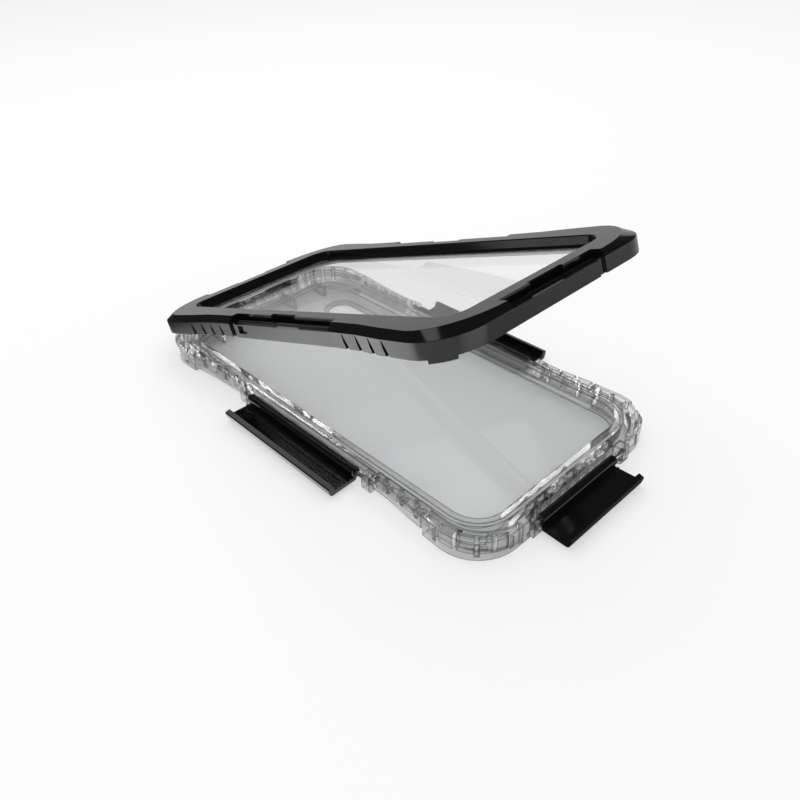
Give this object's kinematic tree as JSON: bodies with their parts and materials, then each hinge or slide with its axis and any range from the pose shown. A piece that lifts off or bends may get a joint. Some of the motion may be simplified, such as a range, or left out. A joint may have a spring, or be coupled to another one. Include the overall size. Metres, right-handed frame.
{
  "type": "waterproof phone case",
  "caption": "Waterproof phone case with a clear tray, a hinged black frame holding a clear window, and over-the-edge latches on its sides and free end.",
  "frame": {"origin": "middle of the tray's back, on the plane the case lies on", "axes": "+Z out of the tray's mouth towards the lid, +Y along the case towards the hinge end, +X to the right as seen from above with the hinge end up"},
  "size_m": [0.1074, 0.1839, 0.0704],
  "materials": {
    "clear_shell": "clear polished polycarbonate",
    "clear_bumper": "clear smooth plastic, a little greyer than the tray",
    "window_film": "clear membrane, slightly milky",
    "pin_steel": "bright drawn wire",
    "black_plastic": "black, satin gloss",
    "seal_silicone": "pale grey silicone"
  },
  "bodies": {
    "tray": {"tray": "clear_shell", "camera_window": "window_film", "bumper_free_left": "clear_bumper", "bumper_free_right": "clear_bumper", "bumper_hinge_left": "clear_bumper", "bumper_hinge_right": "clear_bumper", "pin_left": "pin_steel", "pin_right": "pin_steel", "pin_end": "pin_steel", "hinge_pin": "pin_steel"},
    "lid": {"lid_frame": "black_plastic", "lid_window": "window_film", "lid_seal": "seal_silicone"},
    "latch_left": {"latch_left": "black_plastic"},
    "latch_right": {"latch_right": "black_plastic"},
    "latch_end": {"latch_end": "black_plastic"}
  },
  "joints": [
    {"name": "lid_hinge", "type": "hinge", "parent": "tray", "child": "lid", "pos_m": [0, 0.0846, 0.0043], "axis": [-1, 0, 0], "range_deg": [-19.7, 160.3]},
    {"name": "latch_left_pivot", "type": "hinge", "parent": "tray", "child": "latch_left", "pos_m": [-0.0425, -0.0028, 0.0043], "axis": [0, 1, 0], "range_deg": [0, 105]},
    {"name": "latch_right_pivot", "type": "hinge", "parent": "tray", "child": "latch_right", "pos_m": [0.0425, -0.0028, 0.0043], "axis": [0, -1, 0], "range_deg": [0, 105]},
    {"name": "latch_end_pivot", "type": "hinge", "parent": "tray", "child": "latch_end", "pos_m": [-0.0012, -0.0846, 0.0043], "axis": [-1, 0, 0], "range_deg": [0, 105]}
  ]
}
